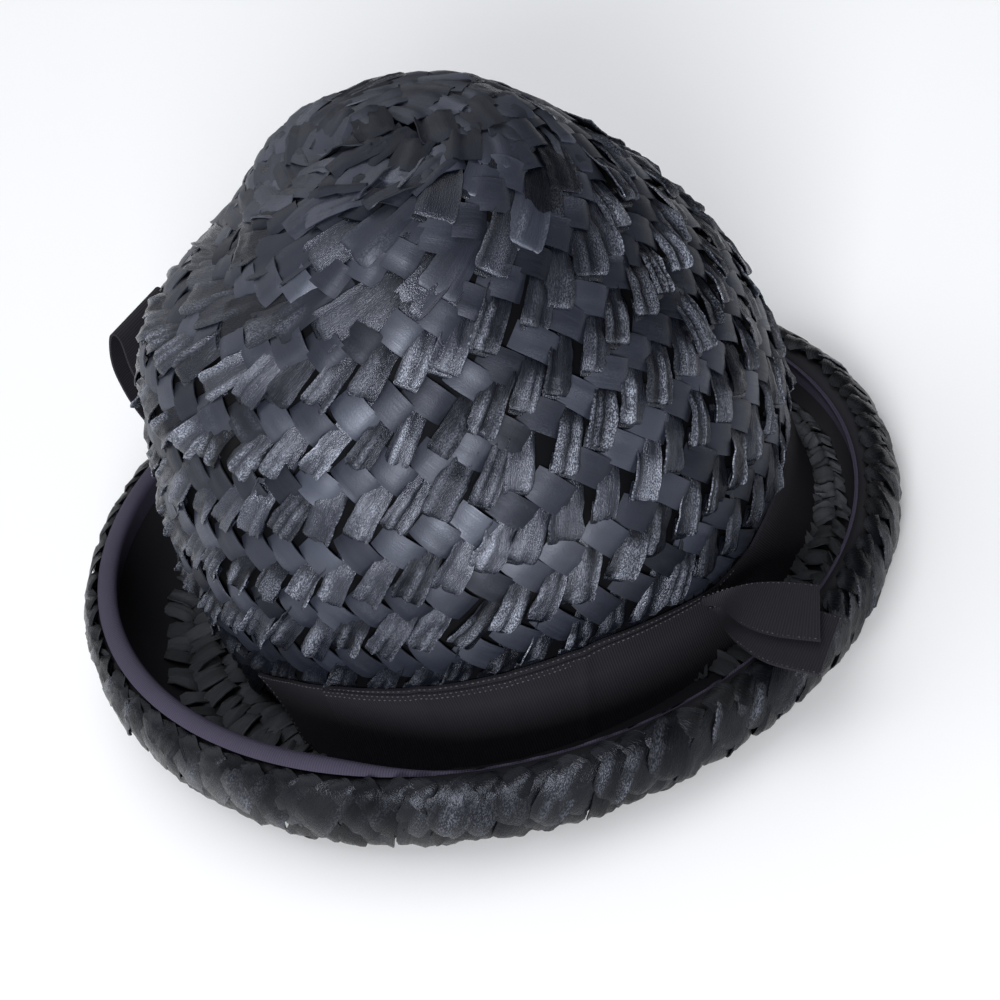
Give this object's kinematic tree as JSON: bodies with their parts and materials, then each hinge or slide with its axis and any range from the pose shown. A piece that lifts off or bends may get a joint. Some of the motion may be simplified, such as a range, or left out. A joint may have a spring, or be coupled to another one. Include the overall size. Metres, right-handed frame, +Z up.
{
  "type": "plaited straw cloche hat",
  "caption": "Tall-crowned plaited straw hat with a brim rolled up all round, a wide ribbon band ending in tails at one side, and a ribbon loop at the other.",
  "frame": {"origin": "on the surface that the hat rests on, below the middle of its outline seen from above", "axes": "+Z up through the crown; -Y towards the front of the hat; -X towards its wearer's right, where the tails are"},
  "size_m": [0.2646, 0.255, 0.1662],
  "materials": {
    "straw": "glossy navy-black plaited raffia",
    "tape": "matt purple-navy ribbed tape",
    "ribbon": "matt near-black grosgrain"
  },
  "bodies": {
    "root": {"crown": "straw", "brim": "straw", "edge_tape": "tape", "band": "ribbon", "tail_upper": "ribbon", "tail_lower": "ribbon", "side_loop": "ribbon"}
  },
  "joints": []
}
